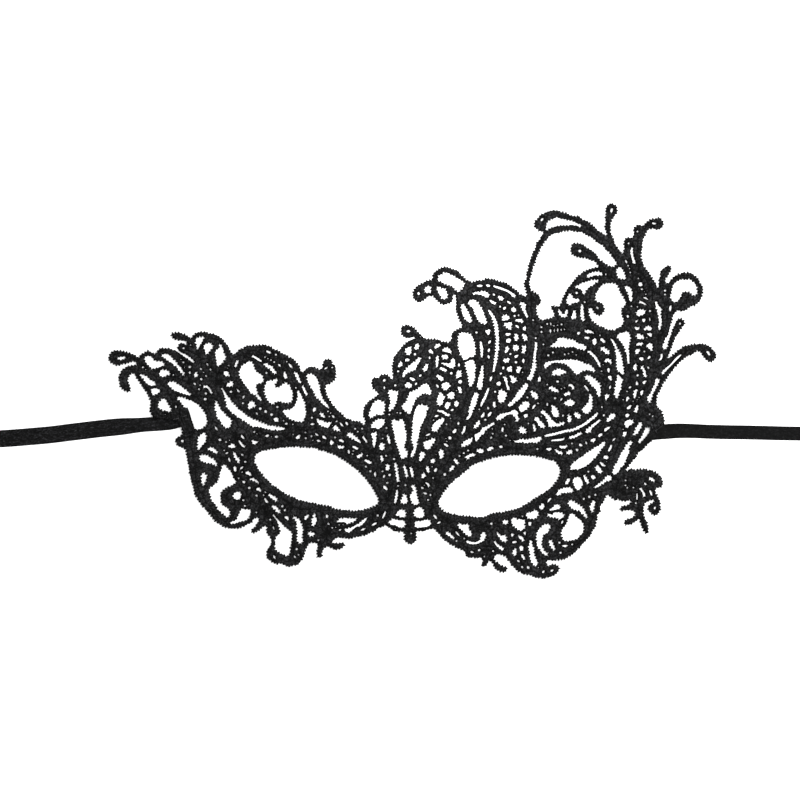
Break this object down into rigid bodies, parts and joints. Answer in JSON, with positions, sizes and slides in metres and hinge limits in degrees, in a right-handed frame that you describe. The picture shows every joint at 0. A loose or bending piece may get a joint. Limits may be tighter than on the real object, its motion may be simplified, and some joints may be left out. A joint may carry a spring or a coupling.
{
  "type": "lace masquerade mask",
  "caption": "Flat black lace masquerade mask with a one-sided scroll and feather crest, two eye holes, and a satin ribbon tie sewn to the back of each side",
  "frame": {"origin": "middle of the lace's length and height, on its underside, with the mask lying on its back", "axes": "+X along the mask's length towards the right tie as seen from the face side, +Y towards the crest, +Z out of the face side"},
  "size_m": [0.4993, 0.1753, 0.0065],
  "materials": {
    "lace": "matte embroidered polyester thread",
    "ribbon": "soft satin weave"
  },
  "bodies": {
    "root": {"lace": "lace", "ribbon_left": "ribbon", "ribbon_right": "ribbon", "ribbon_left_coil": "ribbon", "ribbon_right_coil": "ribbon"}
  },
  "joints": []
}
